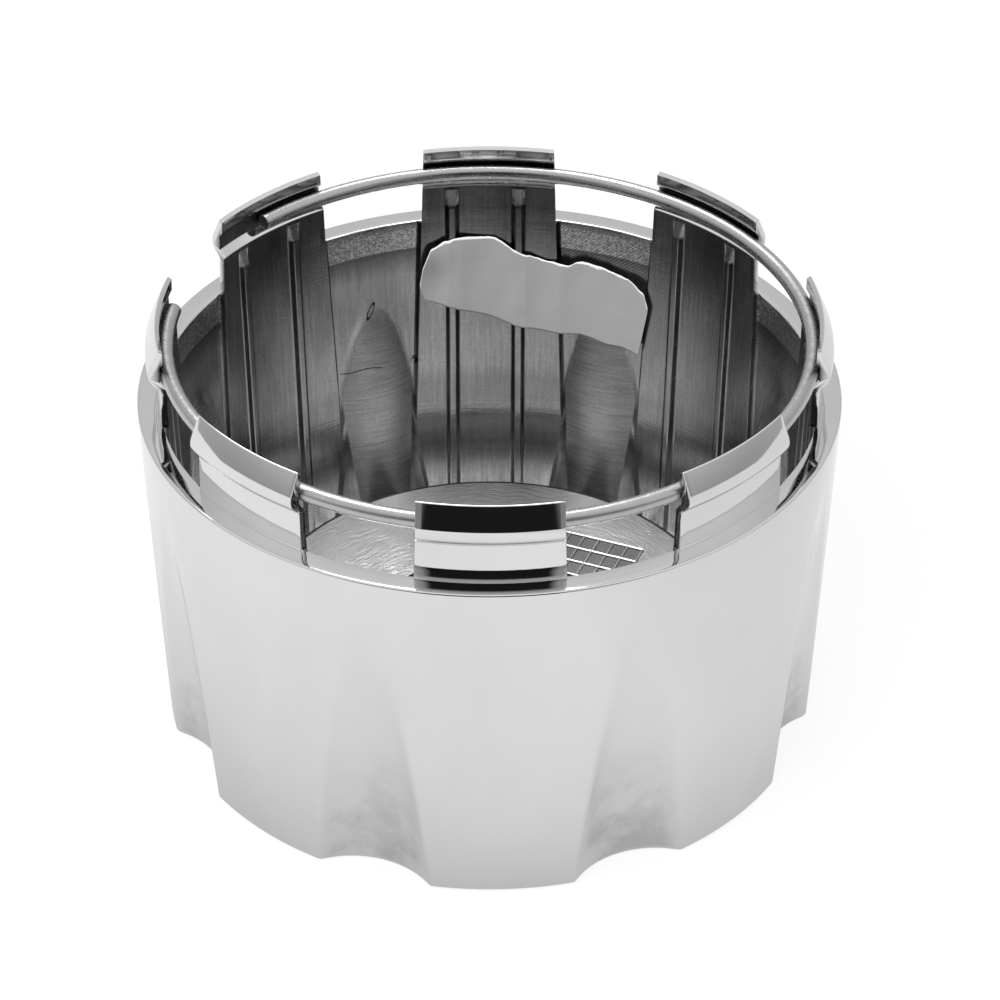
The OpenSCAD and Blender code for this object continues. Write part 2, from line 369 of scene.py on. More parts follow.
def outer_rows():
    """The wall outside: at each height, the radius of the fluted wall at each column's angle."""
    fluted = np.linspace(FACE_EDGE, RUN_OUT, 41)[1:]
    plain = np.linspace(RUN_OUT, CUP_H - RIM_EDGE, 6)[1:]
    z = np.concatenate([fluted, plain])[:, None]
    phi, angle = outside_columns(z)
    return [rows(angle, outside_r(phi, z), z)]


def land_rows():
    """The rim's rounded edge, the flat land and its inner edge, as the columns shift from the flutes
    outside to their backs inside."""
    top = np.array([[CUP_H - RIM_EDGE]])
    outer, inner = outside_columns(top)[1], inside_columns(top)[1]
    start, end = RIM_R - RIM_EDGE, LAND_R + LAND_EDGE
    made = rings(outer, arc((start, CUP_H - RIM_EDGE), RIM_EDGE, 0, 90, 6)[1:])
    for share in (0.3, 0.65):
        made += rings(outer + (inner - outer) * share, [(start + (end - start) * share, CUP_H)])
    return made + rings(inner, arc((end, CUP_H - LAND_EDGE), LAND_EDGE, 90, 180, 4))


def inner_rows():
    """The wall inside, the trough and the raised floor: the wall ends where it comes within the trough's
    gap of the floor's cone, found by halving, and the lowest rows are lifted smoothly to that height."""
    phi = inside_columns(np.array([[FLOOR_T]]))[0]
    low, high = np.full(phi.shape, FLOOR_T), np.full(phi.shape, DISC_Z)
    for _ in range(30):
        mid = (low + high) / 2
        apart = inside_r(phi, mid) - cone_in(mid) > TROUGH_GAP
        low, high = np.where(apart, low, mid), np.where(apart, mid, high)
    bottom = high
    share = np.linspace(0, 1, 51)[1:, None]
    z = CUP_H - LAND_EDGE + (FLOOR_T - CUP_H + LAND_EDGE) * share
    phi, angle = inside_columns(z)
    z = z + (bottom - FLOOR_T) * np.clip((TROUGH_REACH - z) / (TROUGH_REACH - FLOOR_T), 0, 1) ** 2
    made = [rows(angle, inside_r(phi, z), z)]

    wall_foot, floor_foot = inside_r(phi[-1:], bottom), cone_in(bottom)
    flat = DISC_R - corner_in(DISC_EDGE)
    edge = arc((flat, DISC_Z - DISC_EDGE), DISC_EDGE, math.degrees(DISH_LEAN), 90, 5)
    profile = between((wall_foot, bottom - 0.02), (floor_foot, bottom - 0.02), (0.1, 0.9))
    profile += between((floor_foot, bottom), edge[0], np.linspace(0, 1, 9)[:-1])
    profile += [*edge, *[(share * flat, DISC_Z) for share in np.linspace(1, 0.05, 8)[1:]]]
    return made + rings(angle[-1:], profile)


def add_cup(body):
    """The cup's closed skin, from the dish's centre round the face ring, up the outside, over the land
    and down inside to the raised floor's centre, where each end closes on one point."""
    outer = np.concatenate(face_rows() + outer_rows() + land_rows())
    points = np.concatenate([outer, *inner_rows()])
    count, width = points.shape[:2]
    poles = np.array([[0, 0, DISH_Z], [0, 0, DISC_Z]])
    j = np.arange(width)
    k = (j + 1) % width
    first = np.stack([np.full(width, count * width), k, j], 1)
    last = np.stack([np.full(width, count * width + 1), (count - 1) * width + j, (count - 1) * width + k], 1)
    inside = np.append(np.repeat(np.arange(count) >= len(outer), width), [0, 1])
    body.add(np.concatenate([points.reshape(-1, 3), poles]), [quads(count, width), first, last], inside)


def upright(radius, z):
    """Points at heights z, at one radius or at one for each height."""
    return np.stack([np.broadcast_to(radius, len(z)), z], 1)


def clip_profile():
    """The closed section of one strip and clip, up inside and down outside: its points as radius and height
    above the land, the way into the plastic, and where it is strip, may have ribs, or lies inside."""
    strip_z = np.linspace(STRIP_FOOT, -0.01, 22)
    strip = upright(STRIP_R + strip_z * CORE_DRAFT, strip_z)
    face = upright(STRIP_R, np.concatenate([np.linspace(0, 3.0, 4), np.linspace(3.4, LEDGE_Z - 0.2, 10)]))
    nose = arc((STRIP_R + NOSE_EDGE, LEDGE_Z - 0.06), NOSE_EDGE, 180, 126, 4)
    groove = arc((GROOVE_R - GROOVE_EDGE, GROOVE_FOOT + 0.1), GROOVE_EDGE, -54, 0, 4)
    under = arc((GROOVE_R - LIP_EDGE, GROOVE_TOP - LIP_EDGE), LIP_EDGE, 0, 45, 4)
    lip_low = arc((LIP_R + LIP_EDGE, LIP_Z + 0.12), LIP_EDGE, 225, 178, 4)
    lip_top = arc((LIP_R + LIP_EDGE, CLIP_H - LIP_CHAMFER), LIP_EDGE, 178, 132, 5)
    crown_c = np.array([CROWN_R - 0.12, CLIP_H - CROWN_EDGE])
    run = crown_c - (BEAD_C, BEAD_Z)
    tangent = math.acos((BEAD_R - CROWN_EDGE) / np.linalg.norm(run))
    lead = math.degrees(math.atan2(run[1], run[0]) - tangent)
    crown = arc(crown_c, CROWN_EDGE, 90, lead, 5)
    bead_end = 5 - math.degrees(math.acos((NECK_R - BEAD_C) / BEAD_R))
    bead = arc((BEAD_C, BEAD_Z), BEAD_R, lead, bead_end, 18)
    neck = upright(NECK_R, np.linspace(bead[-1][1] - 0.35, 0.15, 6))
    foot = upright(NECK_R + 0.12, np.array([0.0, -0.5]))
    back_z = np.linspace(-1.0, STRIP_FOOT, 6)
    back = upright(STRIP_R + STRIP_BACK + back_z * CORE_DRAFT, back_z)

    parts = [strip, face, nose, groove, under, lip_low, lip_top, crown, bead, neck, foot, back]
    shares = [1, 1, 0, [0, 0, 1, 1], 1, 0.4, 0, 0, 0, 0, 0, 0]
    loop = np.concatenate(parts)
    inside = np.concatenate([np.broadcast_to(share, len(part)) for share, part in zip(shares, parts)])
    ahead = np.roll(loop, -1, 0) - loop
    along = ahead / np.linalg.norm(ahead, axis=1, keepdims=True)
    along = along + np.roll(along, 1, 0)
    along /= np.linalg.norm(along, axis=1, keepdims=True)
    inward = np.stack([along[:, 1], -along[:, 0]], 1)
    inward[: len(strip)] = (1, 0)
    inward[-len(back) - 1 :] = 0
    on_strip = np.zeros(len(loop))
    on_strip[: len(strip)] = 1
    on_strip[-len(back) - 1 :] = 1
    ribbed = np.zeros(len(loop))
    ribbed[: len(strip) + len(face)] = 1
    return loop, inward, on_strip, ribbed, inside


def clip_columns():
    """Places across a clip: (share of the half width, fixed offset in mm), set close at the ribs' edges."""
    half = RIB_TOP / 2
    foot = half + RIB_H
    near_foot = foot + np.array([0.2, 0.08, -0.06, -0.16])
    near_top = half + np.array([0.16, 0.06, -0.06, -0.16])
    side = np.concatenate([near_foot, near_top])
    rib = np.concatenate([-side, [0.0], side[::-1]])
    ribs = [rib + middle for middle in RIB_MIDDLES]
    share = np.linspace(0, 1, 6)[:-1]
    left = np.stack([share - 1, ribs[0][0] * share], 1)
    right = np.stack([1 - share, ribs[1][-1] * share], 1)[::-1]
    gap = np.linspace(ribs[0][-1], ribs[1][0], 7)[1:-1]
    fixed = np.concatenate([ribs[0], gap, ribs[1]])
    return np.concatenate([left, np.stack([np.zeros(len(fixed)), fixed], 1), right])


def rib_height(across, z):
    """How far the ribs stand out: sides at 45 degrees, a flat top, and a slope to nothing at the upper
    end."""
    height = np.full(across.shape, -1.0)
    for middle in RIB_MIDDLES:
        height = np.maximum(height, RIB_TOP / 2 + RIB_H - np.abs(across - middle))
    height = np.minimum(np.minimum(height, RIB_H), (RIB_END - z) * RIB_H / RIB_SLOPE)
    return np.maximum(height, 0)


def add_clips(body):
    """Each clip with its strip: the section carried across its width, rounded at the clip's ends
    and sloping at 45 degrees to the wall along the strip's sides. Where a flute bites deep, the strip
    sinks behind the flute's back."""
    loop, inward, on_strip, ribbed, inside = clip_profile()
    spots = clip_columns()
    z = loop[:, 1][:, None]
    width = CLIP_HALF - z * SIDE_DRAFT
    clip_side = np.array([[0.0, CLIP_EDGE], [-0.02, 0.07], [-0.06, 0.02], [-CLIP_EDGE, 0.0]])
    strip_side = np.repeat([[STRIP_SLOPE], [0.75], [0.35], [0.0]], 2, 1)
    side = clip_side + (strip_side - clip_side) * on_strip[:, None, None]
    inner = width - CLIP_EDGE * (1 - on_strip[:, None])
    across = spots[:, 0] * inner + spots[:, 1]
    across = np.concatenate([-(width + side[:, :3, 0]), across, (width + side[:, 2::-1, 0])], 1)
    inset = np.zeros(across.shape)
    inset[:, :3] = side[:, :3, 1]
    inset[:, -3:] = side[:, 2::-1, 1]
    radius = loop[:, :1] + inward[:, :1] * inset - rib_height(across, z) * ribbed[:, None]
    level = CUP_H + z + inward[:, 1:] * inset
    from_flute = PITCH / 2 - np.abs(np.arcsin(across / radius) - FLUTE_TURN)
    shell = outside_r(from_flute, np.clip(level, 0, CUP_H)) - STRIP_COVER - RIB_COVER * ribbed[:, None]
    radius = np.where(level < CUP_H - 1, np.minimum(radius, shell), radius)
    forward = np.sqrt(radius**2 - across**2)

    count, wide = across.shape
    i = np.arange(count)
    faces = [strips(i, (i + 1) % count, wide)]
    clip = i[on_strip == 0]
    strip = np.concatenate([np.arange(clip[-1], count), np.arange(clip[0] + 1)])
    for part in (clip, strip):
        faces += [(part * wide)[None, :], (part * wide + wide - 1)[None, ::-1]]
    for k in range(FLUTES):
        c, s = math.cos(k * PITCH), math.sin(k * PITCH)
        points = np.stack([forward * c - across * s, forward * s + across * c, level], 2)
        body.add(points, faces, np.repeat(inside, wide))


def add_bar(body, start, end, fall):
    """One straight ridge of the mould's grid, with sides that lean in, and a top that falls to the front
    by a share of its height."""
    along = (end - start) / np.linalg.norm(end - start)
    across = np.array([-along[1], along[0]])
    points = []
    for z, lean, drop in (
        (-RIDGE_SINK, 0.0, 0.0),
        (RIDGE_H * 0.7, 0.06, 0.0),
        (RIDGE_H, 0.07 if fall else 0.14, fall),
    ):
        half = RIDGE_W / 2 - lean
        for corner in (start - along * half, end + along * half):
            points.append([*(corner - across * half), DISC_Z + z - RIDGE_H * drop])
            points.append([*(corner + across * half), DISC_Z + z])
    order = np.array([0, 2, 3, 1])
    ahead = np.roll(order, -1)
    low = np.stack([order, ahead, ahead + 4, order + 4], 1)
    body.add(points, [low, low + 4, np.array([order[::-1], order + 8])], 1.0)


def add_grid(body):
    """The raised grid of cells that the mould leaves on the floor."""
    right = np.array([math.cos(GRID_TURN), math.sin(GRID_TURN)])
    back = np.array([-right[1], right[0]])
    for i in range(GRID_COLS + 1):
        top = GRID_CORNER - right * CELL_W * i
        add_bar(body, top, top - back * CELL_L * GRID_ROWS, 0.0)
    for i in range(GRID_ROWS + 1):
        end = GRID_CORNER - back * CELL_L * i
        add_bar(body, end - right * CELL_W * GRID_COLS, end, RIDGE_FALL)


def make_body():
    """The moulding: the cup's skin, the strips with their clips, and the grid, in one mesh."""
    body = Pieces()
    add_cup(body)
    add_clips(body)
    add_grid(body)
    return body.make("cap_moulding")


def make_ring():
    """Round wire carried along its circle; each end is cut square with a small rounded edge."""
    span = 2 * math.pi - RING_OPEN
    tip = np.radians(np.linspace(0, 90, 5))
    ease = RING_EDGE / RING_R * (1 - np.cos(tip))
    thin = RING_EDGE * (1 - np.sin(tip))
    middle = np.linspace(ease[-1], span - ease[-1], 262)[1:-1]
    turn = np.concatenate([ease, middle, span - ease[::-1]])
    radius = WIRE_R - np.concatenate([thin, np.zeros(len(middle)), thin[::-1]])[:, None]
    around = np.linspace(0, 2 * math.pi, 28, endpoint=False)[None, :]
    z = CUP_H + WIRE_Z + radius * np.sin(around)
    angle = np.broadcast_to((RING_START + turn)[:, None], z.shape)
    points = rows(angle, RING_R + radius * np.cos(around), z)
    count, width = z.shape
    ring = Pieces()
    caps = [np.arange(width)[None, ::-1], np.arange((count - 1) * width, count * width)[None, :]]
    ring.add(points, [quads(count, width)] + caps)
    return ring.make("spring_ring")


def jitter(rng, count, width):
    """Random steps along a torn edge, averaged over a few neighbours."""
    return np.convolve(rng.normal(0, 1, count + 8), np.ones(width) / width, "same")[4:-4]


def make_label():
    """A thin sheet between a torn upper and lower edge, laid round the wall over the ribs: its radius is
    the wall's, less the lift of one corner and shallow waves, plus the sag between the ribs."""
    rng = np.random.default_rng(7)
    top, low = np.array(LABEL_TOP), np.array(LABEL_LOW)
    left, right = np.linspace(top[0, 0], -20, 16), np.linspace(20, top[-1, 0], 16)
    x = np.concatenate([left, np.linspace(-20, 20, 120)[1:-1], right])
    high = np.interp(x, top[:, 0], top[:, 1]) + 0.13 * jitter(rng, len(x), 3)
    down = np.interp(x, low[:, 0], low[:, 1]) + 0.02 * jitter(rng, len(x), 5)
    z = down + (high - down) * np.linspace(0, 1, 46)[:, None] + CUP_H
    across = np.broadcast_to(x, z.shape)
    lift = np.clip(1 - np.hypot(across + 22.5, z - (CUP_H - 7)) / 9.0, 0, 1) ** 2 * 1.6
    wave = 0.06 * np.sin(across * 0.33 + z * 0.12) + 0.03 * np.sin(across * 0.9 - z * 0.35 + 1.3)
    sag = np.zeros(across.shape)
    for middle, reach, depth in LABEL_SAGS:
        sag = np.maximum(sag, depth * np.clip(1 - ((across - middle) / reach) ** 2, 0, 1))
    radius = LABEL_R + (z - LABEL_Z) * CORE_DRAFT - lift - 0.1 + wave + sag
    forward = np.sqrt(radius**2 - across**2)
    c, s = math.cos(LABEL_DIR), math.sin(LABEL_DIR)
    points = np.stack([forward * c + across * s, forward * s - across * c, z], 2)
    i = np.arange(len(z) - 1)
    piece = make_mesh("blank_label", points.reshape(-1, 3), [strips(i, i + 1, len(x))], 60)
    write_values(piece, "from_tear", high + CUP_H - z)
    thick = piece.modifiers.new("paper", "SOLIDIFY")
    thick.thickness = LABEL_T * MM
    thick.offset = 0
    side = np.linalg.norm(np.diff(points, axis=1), axis=2).sum(1).max()
    tall = (z.max(0) - z.min(0)).max()
    a, b = points[1:, 1:] - points[:-1, :-1], points[1:, :-1] - points[:-1, 1:]
    area = 0.5 * np.linalg.norm(np.cross(a, b), axis=2).sum()
    return piece, side * MM, tall * MM, area * MM * MM


def grey(value):
    """A neutral colour."""
    return (value, value, value, 1.0)


class Nodes:
    """Short ways to place and join the nodes of a material or a world."""

    def __init__(self, tree, steps="LINEAR"):
        self.tree = tree
        self.steps = steps

    def node(self, kind, inputs=None, **settings):
        """A new node with its settings, then its inputs by name or number."""
        made = self.tree.nodes.new(kind)
        for key, value in settings.items():
            setattr(made, key, value)
        for key, value in (inputs or {}).items():
            self.put(made.inputs[key], value)
        return made

    def put(self, socket, value):
        """Joins a socket to another one, or gives it a plain value."""
        if isinstance(value, bpy.types.NodeSocket):
            self.tree.links.new(value, socket)
        else:
            socket.default_value = value

    def math(self, operation, *values):
        """One step of arithmetic of the named kind."""
        return self.node("ShaderNodeMath", dict(enumerate(values)), operation=operation).outputs[0]

    def times(self, value, *others):
        """The product of all the values."""
        for other in others:
            value = self.math("MULTIPLY", value, other)
        return value

    def plus(self, value, *others):
        """The sum of all the values."""
        for other in others:
            value = self.math("ADD", value, other)
        return value

    def minus(self, value, other):
        """The first value less the other."""
        return self.math("SUBTRACT", value, other)

    def length(self, a, b):
        """Root of the sum of the squares of two values."""
        return self.math("SQRT", self.plus(self.times(a, a), self.times(b, b)))

    def split(self, vector):
        """The three parts of a vector."""
        return self.node("ShaderNodeSeparateXYZ", {"Vector": vector}).outputs

    def join(self, x, y, z=0.0):
        """A vector from its parts."""
        return self.node("ShaderNodeCombineXYZ", {"X": x, "Y": y, "Z": z}).outputs[0]

    def scale(self, vector, by):
        """A vector with each part multiplied by its own number."""
        return self.node("ShaderNodeVectorMath", {0: vector, 1: by}, operation="MULTIPLY").outputs[0]

    def noise(self, vector, scale, detail, roughness, distortion=0.0):
        """Soft noise from 0 to 1 at a vector: a greater scale makes it finer."""
        inputs = {"Vector": vector, "Scale": scale, "Detail": detail, "Roughness": roughness}
        return self.node("ShaderNodeTexNoise", {**inputs, "Distortion": distortion}).outputs["Fac"]

    def span(self, value, low, high, to_low, to_high):
        """Carries a value from one span to another, and holds it at the ends."""
        inputs = {"Value": value, "From Min": low, "From Max": high, "To Min": to_low, "To Max": to_high}
        return self.node("ShaderNodeMapRange", inputs, interpolation_type=self.steps).outputs["Result"]

    def rise(self, value, low, high):
        """0 below a span of the value and 1 above it."""
        return self.span(value, low, high, 0, 1)

    def fall(self, value, low, high):
        """1 below a span of the value and 0 above it."""
        return self.span(value, low, high, 1, 0)

    def blend(self, share, a, b):
        """A number from a to b by a share."""
        return self.node("ShaderNodeMix", {0: share, 2: a, 3: b}, data_type="FLOAT").outputs[0]

    def mix(self, share, a, b):
        """A colour from a to b by a share."""
        return self.node("ShaderNodeMix", {0: share, 6: a, 7: b}, data_type="RGBA").outputs[2]

    def curve(self, source, stops, steps="LINEAR"):
        """A grey that follows stops of (place from 0 to 1, value)."""
        made = self.node("ShaderNodeValToRGB", {0: source})
        ramp = made.color_ramp
        ramp.interpolation = steps
        for _ in range(len(stops) - 2):
            ramp.elements.new(0.5)
        for element, (place, value) in zip(ramp.elements, stops):
            element.position = place
            element.color = grey(value)
        return made.outputs["Color"]

    def bump(self, height):
        """The normal of a surface with relief of that height in mm."""
        inputs = {"Height": height, "Distance": MM, "Strength": 1.0}
        return self.node("ShaderNodeBump", inputs).outputs["Normal"]


class Surface(Nodes):
    """A piece's material, which reads its own object's coordinates in mm."""

    def __init__(self, name):
        self.material = bpy.data.materials.new(name)
        self.material.use_nodes = True
        super().__init__(self.material.node_tree)
        self.place = self.scale(self.node("ShaderNodeTexCoord").outputs["Object"], (1000, 1000, 1000))

    def attribute(self, name):
        """A number that is kept at the piece's points."""
        return self.node("ShaderNodeAttribute", attribute_name=name).outputs["Fac"]

    def finish(self, **values):
        """Sets the shader's sockets and gives the material."""
        shader = self.tree.nodes["Principled BSDF"]
        for key, value in values.items():
            self.put(shader.inputs[key.replace("_", " ")], value)
        return self.material


def grid_place(s, x, y):
    """1 within the mould's grid on the floor, 0 off it."""
    c, v = math.cos(GRID_TURN), math.sin(GRID_TURN)
    dx, dy = s.minus(x, GRID_CORNER[0]), s.minus(y, GRID_CORNER[1])
    across = s.plus(s.times(dx, -c), s.times(dy, -v))
    down = s.plus(s.times(dx, v), s.times(dy, -c))
    sides = []
    for place, length in ((across, CELL_W * GRID_COLS), (down, CELL_L * GRID_ROWS)):
        sides += [s.rise(place, -0.3, -0.2), s.rise(s.minus(length, place), -0.3, -0.2)]
    return s.times(*sides)


def places(s):
    """Coordinates on the moulding in mm, and shares that are 1 on one part of it and 0 off that part."""
    p = SimpleNamespace()
    p.x, p.y, p.z = s.split(s.place)
    p.radius = s.length(p.x, p.y)
    p.angle = s.math("ARCTAN2", p.y, p.x)
    p.inside = s.attribute("inside")
    draft = s.times(s.math("MINIMUM", s.minus(p.z, CUP_H), 0.0), CORE_DRAFT)
    p.from_strip = s.minus(s.minus(p.radius, draft), STRIP_R)
    from_middle = s.times(s.math("PINGPONG", p.angle, PITCH / 2), p.radius)
    strip_half = s.minus(CLIP_HALF + CUP_H * SIDE_DRAFT + 1.2, s.times(p.z, SIDE_DRAFT))
    p.by_strip = s.fall(s.minus(from_middle, strip_half), 0, 0.3)
    level = s.times(s.rise(p.z, 16.5, 16.9), s.fall(p.z, 17.8, 18.2))
    p.floor = s.times(p.inside, level, s.fall(p.radius, 46.2, 46.6))
    p.cells = grid_place(s, p.x, p.y)
    p.on_wall = s.times(s.rise(p.from_strip, 0.6, 0.8), s.fall(p.z, 70.8, 71.1))
    p.in_band = s.times(s.rise(p.z, BAND_Z, BAND_Z + 0.3), p.on_wall)
    p.on_back = s.times(s.fall(p.from_strip, 0.6, 0.8), s.minus(1.0, p.by_strip))
    return p


def patterns(s, p):
    """Grain under the rim, fine slanting and level tool marks lower down, and wavy brushed lines on the
    floor, with patches that go over all of them."""
    t = SimpleNamespace()
    wall = s.join(s.times(p.angle, 60), p.z)
    t.grain = s.noise(s.place, 1.9, 2, 0.6)
    t.streak = s.noise(s.scale(wall, (1, 0.05, 1)), 1.5, 3, 0.6)
    t.level = s.noise(s.scale(wall, (0.06, 1, 1)), 1.9, 2, 0.5)
    slant = s.math("SINE", s.times(s.plus(s.times(p.angle, 50), p.z), 9))
    t.slant = s.times(slant, p.on_wall, s.rise(p.z, 50, 60))
    warp = s.plus(p.radius, s.times(s.noise(s.place, 0.06, 2, 0.5), 9))
    t.brush = s.noise(s.join(warp, s.times(p.angle, 6)), 1.5, 3, 0.65)
    t.patch = s.noise(s.place, 0.045, 3, 0.55)
    return t


def relief(s, p, t):
    """Height of the tool marks inside and of the faint ripple outside, in mm."""
    marks = s.times(t.streak, s.blend(p.on_back, 0.4, 0.0))
    marks = s.plus(marks, s.times(t.level, 0.45), s.times(t.grain, 0.45), s.times(t.slant, 0.25))
    marks = s.blend(p.in_band, marks, s.times(t.grain, 2.4))
    marks = s.times(marks, s.span(p.z, 72, 76, 1, 0.3))
    marks = s.blend(p.floor, marks, s.times(t.brush, s.blend(p.cells, 5.0, 1.2)))
    ripple = s.noise(s.place, 0.26, 2, 0.5)
    return s.blend(p.inside, s.times(ripple, 0.006), s.times(marks, 0.028))


def roughness(s, p, t):
    """Bright outside, more so towards the rim; satin inside, most of all on the floor and the flutes'
    backs."""
    rough = s.blend(p.inside, s.span(p.z, 50, 66, 0.15, 0.04), s.span(t.patch, 0.3, 0.7, 0.16, 0.24))
    rough = s.blend(p.floor, rough, s.span(t.patch, 0.3, 0.7, 0.26, 0.36))
    return s.blend(s.times(p.on_back, p.inside), rough, 0.34)


def grime_and_painted_dent_shade(s, p):
    """Share of soiling and painted shade: a hair across the left bump and the wall beside it, specks by the
    back strip, and a painted shade ring along the outline of the dent in the bump's tip."""
    curl = s.times(s.math("SINE", s.times(p.x, 0.7)), 0.35)
    across = s.math("ABSOLUTE", s.minus(s.minus(p.z, HAIR_Z), curl))
    hair = s.times(s.fall(across, 0.08, 0.14), s.rise(p.x, -30.6, -30.4), s.fall(p.x, -22.1, -21.7))

    def oval(centre_x, centre_z, half_x, half_z, lean=0.0):
        """1 on an oval's edge, less within it: the distance as a share of its half width and height."""
        up = s.minus(p.z, centre_z)
        out = s.minus(s.minus(p.x, centre_x), s.times(up, lean))
        return s.length(s.math("DIVIDE", out, half_x), s.math("DIVIDE", up, half_z))

    crumbs = s.rise(s.noise(s.place, 2.2, 2, 0.6), 0.5, 0.54)
    specks = s.times(crumbs, s.fall(oval(-15.2, 38.6, 1.5, 1.1), 0.7, 1.0))
    # Painted shade: a dark ring along the dent's outline.
    ring = oval(-24.1, 52.0, 0.55, 1.9, 0.35)
    dent = s.times(s.rise(ring, 0.6, 0.75), s.fall(ring, 0.95, 1.15))
    grime_and_dent_shade = s.math("MAXIMUM", s.math("MAXIMUM", hair, specks), dent)
    return s.times(grime_and_dent_shade, s.rise(p.y, 30, 31))


def inner_tone_with_painted_light(s, p, t):
    """Tone of the thin plating on the strips, the wall and the flutes' backs, with painted reflections and
    shade: it changes with height, and painted shade darkens it where the strips and the ribs stand up from
    their ground."""
    # Painted reflections and shade: the tone rises and falls with height in bands.
    stops = [(0.32, 0.85), (0.4, 0.4), (0.45, 0.22), (0.51, 0.28), (0.58, 0.6)]
    stops += [(0.65, 0.8), (0.72, 0.55), (0.84, 0.5), (0.92, 0.62)]
    tone = s.curve(s.math("DIVIDE", p.z, 40), stops)
    # Painted shade: dark towards the top, darkest in the middle at the back.
    tone = s.blend(s.rise(p.z, 44, 74), tone, s.span(s.math("ABSOLUTE", p.x), 20, 35, 0.08, 0.2))
    # Painted shadow under the grained band: the wall is dark just below it and lighter further down.
    wall = s.blend(s.rise(p.z, BAND_Z, BAND_Z + 0.3), s.span(p.z, 59, BAND_Z, 0.6, 0.2), 0.6)
    tone = s.blend(p.on_wall, tone, wall)
    # Painted reflections on the flutes' backs: dark low down, brightest above that and fading upwards.
    back = s.blend(s.rise(p.z, 15, 21), 0.35, s.span(p.z, 22, 50, 0.85, 0.46))
    tone = s.blend(p.on_back, tone, back)

    # Painted shade in the seams: the side faces of the strips and the ribs are dark.
    strip_side = s.times(s.rise(p.from_strip, 0.1, 0.2), s.fall(p.from_strip, 0.6, 0.9))
    rib_side = s.times(s.rise(p.from_strip, -0.8, -0.7), s.fall(p.from_strip, -0.2, -0.1))
    painted_seam_shade = s.times(s.math("MAXIMUM", strip_side, rib_side), s.fall(p.z, 77.5, 78), p.by_strip)
    tone = s.blend(painted_seam_shade, tone, s.span(p.z, 20, 40, 0.3, 0.1))
    # Painted glint: the ribs' upper tips are nearly white.
    tip = s.times(s.fall(p.from_strip, -0.08, -0.04), s.rise(p.z, 74.6, 75.2), p.by_strip)
    tone = s.blend(tip, tone, 0.95)

    worn = s.plus(s.times(s.blend(p.on_back, t.streak, t.level), 0.6), s.times(t.grain, 0.4))
    grained = s.blend(p.in_band, 1.0, s.span(t.grain, 0.4, 0.6, 0.72, 1.24))
    lined = s.plus(s.times(t.slant, 0.16), 1.0)
    tone = s.times(tone, s.span(worn, 0.36, 0.64, 0.8, 1.2), lined, grained)
    return s.times(tone, s.blend(grime_and_painted_dent_shade(s, p), 1.0, 0.08))


def floor_tone_with_painted_light(s, p, t, tone):
    """Adds the raised floor to the tone inside: brushed, with a painted shadow line round its edge, grey
    cells in the grid, painted shade on the feet of its ridges and painted highlights on their tops."""
    tone = s.blend(p.floor, tone, s.span(t.brush, 0.3, 0.7, 0.9, 1.1))
    tone = s.times(tone, s.span(t.patch, 0.3, 0.7, 0.9, 1.08))
    # Painted shadow: a dark line round the raised floor's rounded edge.
    edge = s.times(s.rise(p.radius, 44.9, 45.1), s.fall(p.radius, 46.6, 47))
    edge = s.times(edge, p.inside, s.rise(p.z, 16.2, 16.4))
    tone = s.blend(edge, tone, 0.12)
    # Grey cells, painted shade on the ridges' feet and painted highlights on their tops.
    above = s.minus(p.z, DISC_Z)
    tone = s.blend(s.times(p.cells, p.floor), tone, s.span(above, 0.02, 0.05, 0.42, 0.05))
    return s.blend(s.times(s.rise(above, 0.13, 0.18), p.floor), tone, 1.0)


def outer_tone_with_painted_shade(s, p):
    """Tone outside: faint smudges, and painted shade in patches low down in the flutes."""
    smudge = s.noise(s.scale(s.place, (1, 1, 0.5)), 0.04, 4, 0.65)
    depth = s.minus(s.plus(s.times(p.z, TAPER / CUP_H), RIM_R - TAPER), p.radius)
    in_flute = s.times(s.rise(depth, 0.6, 2.2), s.fall(depth, 5.5, 6))
    low_down = s.times(s.fall(p.z, 8, 30), s.rise(p.z, 0.4, 1.4))
    # Painted shade: patches that darken the flutes low down.
    painted_flute_shade = s.times(in_flute, low_down, s.rise(s.noise(s.place, 0.12, 4, 0.6), 0.42, 0.62))
    return s.times(s.span(smudge, 0.35, 0.65, 0.72, 0.755), s.blend(painted_flute_shade, 1.0, 0.8))


def chrome():
    """Bright mirror chrome outside, with painted shade low in the flutes; thinner plating inside the cup,
    duller, with painted reflections and shade in its tone and the tool's marks in it.
    """
    s = Surface("chrome_plate")
    p = places(s)
    t = patterns(s, p)
    inner = floor_tone_with_painted_light(s, p, t, inner_tone_with_painted_light(s, p, t))
    tone = s.blend(p.inside, outer_tone_with_painted_shade(s, p), inner)
    return s.finish(
        Base_Color=s.join(tone, tone, tone),
        Metallic=1.0,
        Roughness=roughness(s, p, t),
        Normal=s.bump(relief(s, p, t)),
    )


def wire():
    """Drawn spring wire: satin, with fine lines along it."""
    s = Surface("drawn_wire")
    x, y, z = s.split(s.place)
    section = s.join(s.length(x, y), z, s.math("ARCTAN2", y, x))
    lines = s.noise(s.scale(section, (1, 1, 4)), 5.2, 3, 0.7)
    spots = s.noise(s.place, 0.5, 3, 0.6)
    return s.finish(
        Base_Color=s.mix(spots, grey(0.44), grey(0.56)),
        Metallic=1.0,
        Roughness=s.span(spots, 0.3, 0.7, 0.22, 0.3),
        Normal=s.bump(s.times(lines, 0.009)),
    )


